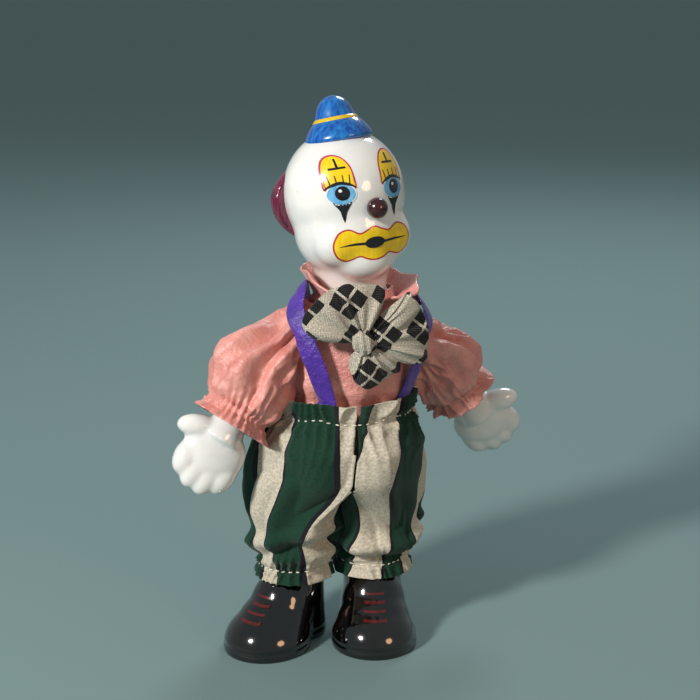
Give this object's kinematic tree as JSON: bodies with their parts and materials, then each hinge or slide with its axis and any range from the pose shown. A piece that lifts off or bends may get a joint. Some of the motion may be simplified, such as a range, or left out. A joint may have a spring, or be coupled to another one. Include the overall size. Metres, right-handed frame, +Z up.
{
  "type": "clown doll",
  "caption": "Small standing clown doll with a glazed porcelain head, hands and boots on a stuffed, wired cloth body in satin shirt, striped trousers, braces and bow tie.",
  "frame": {"origin": "centre of the bounding box, on the plane that the boots stand on", "axes": "+Z up, the trunk faces -Y, the doll's own right side is -X"},
  "size_m": [0.108, 0.0486, 0.1561],
  "materials": {
    "head_porcelain": "white glazed porcelain, painted face and hat under a clear gloss",
    "hand_porcelain": "white glazed porcelain",
    "boot_glaze": "black gloss glaze on porcelain",
    "shirt_satin": "salmon pink polyester satin",
    "trouser_cotton": "woven cotton with wide green and cream stripes",
    "bow_cotton": "plain-weave cotton printed with black checks",
    "ribbon": "purple satin ribbon",
    "calico": "unbleached cotton bag, stuffed with polyester fibre",
    "wire": "annealed steel wire",
    "thread": "white polyester thread, wound and knotted",
    "elastic": "thin white covered elastic"
  },
  "bodies": {
    "torso": {"torso_bag": "calico", "torso_wire": "wire", "shirt_body": "shirt_satin", "shirt_collar": "shirt_satin", "trouser_seat": "trouser_cotton", "waist_elastic": "elastic", "bow_right_loop": "bow_cotton", "bow_left_loop": "bow_cotton", "bow_knot": "bow_cotton", "right_brace": "ribbon", "left_brace": "ribbon"},
    "head": {"neck_tie_thread": "thread", "head": "head_porcelain"},
    "right_shoulder": {"right_shoulder_link": "wire"},
    "right_upper_arm": {"right_upper_arm": "calico", "right_arm_wire": "wire", "right_sleeve_upper": "shirt_satin"},
    "right_forearm": {"right_forearm": "calico", "right_forearm_wire": "wire", "right_wrist_tie": "thread", "right_sleeve_lower": "shirt_satin", "right_cuff_elastic": "elastic"},
    "right_hand": {"right_hand": "hand_porcelain"},
    "left_shoulder": {"left_shoulder_link": "wire"},
    "left_upper_arm": {"left_upper_arm": "calico", "left_arm_wire": "wire", "left_sleeve_upper": "shirt_satin"},
    "left_forearm": {"left_forearm": "calico", "left_forearm_wire": "wire", "left_wrist_tie": "thread", "left_sleeve_lower": "shirt_satin", "left_cuff_elastic": "elastic"},
    "left_hand": {"left_hand": "hand_porcelain"},
    "right_leg": {"right_leg": "calico", "right_leg_wire": "wire", "right_trouser_leg": "trouser_cotton", "right_leg_tie": "thread", "right_hem_elastic": "elastic"},
    "right_boot": {"right_boot": "boot_glaze"},
    "left_leg": {"left_leg": "calico", "left_leg_wire": "wire", "left_trouser_leg": "trouser_cotton", "left_leg_tie": "thread", "left_hem_elastic": "elastic"},
    "left_boot": {"left_boot": "boot_glaze"}
  },
  "joints": [
    {"name": "neck_turn", "type": "hinge", "parent": "torso", "child": "head", "pos_m": [0.0004, 0.00066, 0.09771], "axis": [0.1045, 0, 0.9945], "range_deg": [-60, 60]},
    {"name": "right_arm_swing", "type": "hinge", "parent": "torso", "child": "right_shoulder", "pos_m": [-0.01425, 0.00066, 0.09222], "axis": [0.9945, 0, -0.1045], "range_deg": [-72, 38]},
    {"name": "right_arm_raise", "type": "hinge", "parent": "right_shoulder", "child": "right_upper_arm", "pos_m": [-0.01425, 0.00066, 0.09222], "axis": [-0.0217, 0.9781, -0.2068], "range_deg": [-2, 50]},
    {"name": "right_elbow", "type": "hinge", "parent": "right_upper_arm", "child": "right_forearm", "pos_m": [-0.02695, -0.00225, 0.07979], "axis": [-0.0217, 0.9781, -0.2068], "range_deg": [-3, 60]},
    {"name": "right_hand_turn", "type": "hinge", "parent": "right_forearm", "child": "right_hand", "pos_m": [-0.03666, -0.00534, 0.06619], "axis": [0.5716, 0.1818, 0.8001], "range_deg": [-90, 90]},
    {"name": "right_hip", "type": "hinge", "parent": "torso", "child": "right_leg", "pos_m": [-0.01763, 0.00066, 0.046], "axis": [1, 0, 0], "range_deg": [-38, 20]},
    {"name": "right_boot_turn", "type": "hinge", "parent": "right_leg", "child": "right_boot", "pos_m": [-0.01763, 0.00066, 0], "axis": [0, 0, 1], "range_deg": [-10, 25]},
    {"name": "left_arm_swing", "type": "hinge", "parent": "torso", "child": "left_shoulder", "pos_m": [0.0136, 0.00066, 0.08929], "axis": [0.9945, 0, -0.1045], "range_deg": [-100, 9]},
    {"name": "left_arm_raise", "type": "hinge", "parent": "left_shoulder", "child": "left_upper_arm", "pos_m": [0.0136, 0.00066, 0.08929], "axis": [0.0375, 0.9336, 0.3564], "range_deg": [-38, 18]},
    {"name": "left_elbow", "type": "hinge", "parent": "left_upper_arm", "child": "left_forearm", "pos_m": [0.02618, 0.00481, 0.07711], "axis": [0.0375, 0.9336, 0.3564], "range_deg": [-57, 6]},
    {"name": "left_hand_turn", "type": "hinge", "parent": "left_forearm", "child": "left_hand", "pos_m": [0.03673, 0.00919, 0.06452], "axis": [-0.6207, -0.2578, 0.7405], "range_deg": [-90, 90]},
    {"name": "left_hip", "type": "hinge", "parent": "torso", "child": "left_leg", "pos_m": [0.00547, 0.00066, 0.046], "axis": [1, 0, 0], "range_deg": [-38, 20]},
    {"name": "left_boot_turn", "type": "hinge", "parent": "left_leg", "child": "left_boot", "pos_m": [0.00547, 0.00066, 0], "axis": [0, 0, 1], "range_deg": [-12, 20]}
  ]
}
